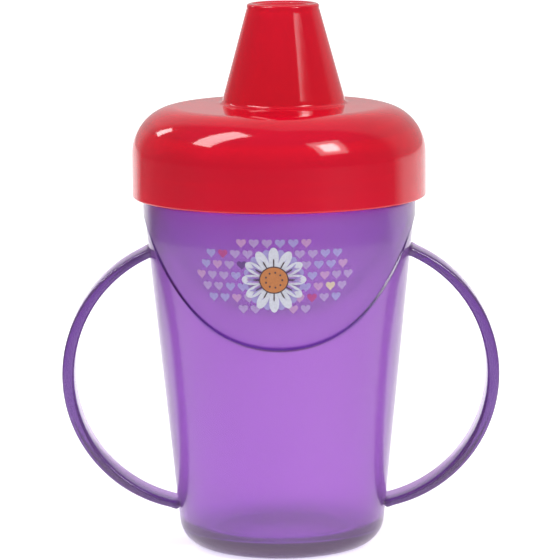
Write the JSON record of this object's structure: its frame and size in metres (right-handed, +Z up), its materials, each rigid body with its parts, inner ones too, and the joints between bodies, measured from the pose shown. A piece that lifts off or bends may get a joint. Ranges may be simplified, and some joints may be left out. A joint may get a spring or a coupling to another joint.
{
  "type": "sippy cup",
  "caption": "Translucent child's training cup with loop handles, a screw lid with a conical spout, a sealing ring and a soft non-spill valve.",
  "frame": {"origin": "middle of the foot, on the surface that the cup stands on", "axes": "+Z up along the cup's axis, handles along +X and -X, printed front panel towards -Y"},
  "size_m": [0.1164, 0.078, 0.1446],
  "materials": {
    "cup_plastic": "glossy translucent purple polypropylene",
    "print_ink": "thin satin ink film with a small repeated pattern",
    "lid_plastic": "high-gloss translucent red polypropylene",
    "ring_silicone": "satin milky silicone",
    "valve_silicone": "satin milky silicone"
  },
  "bodies": {
    "cup": {"cup_body": "cup_plastic", "left_handle": "cup_plastic", "right_handle": "cup_plastic", "printed_panel": "print_ink"},
    "ring": {"sealing_ring": "ring_silicone"},
    "lid": {"lid": "lid_plastic", "spout": "lid_plastic"},
    "valve": {"valve": "valve_silicone"}
  },
  "joints": [
    {"name": "lid_rise", "type": "slide", "parent": "cup", "child": "ring", "axis": [0, 0, 1], "range_m": [0, 0.016]},
    {"name": "lid_turn", "type": "hinge", "parent": "ring", "child": "lid", "pos_m": [0, 0, 0.1], "axis": [0, 0, 1], "range_deg": [0, 1440]},
    {"name": "valve_pull", "type": "slide", "parent": "lid", "child": "valve", "axis": [0, 0, -1], "range_m": [0, 0.012]}
  ],
  "couplings": [
    {"joint": "lid_rise", "follows": "lid_turn", "m_per_rad": 0.0006366}
  ]
}
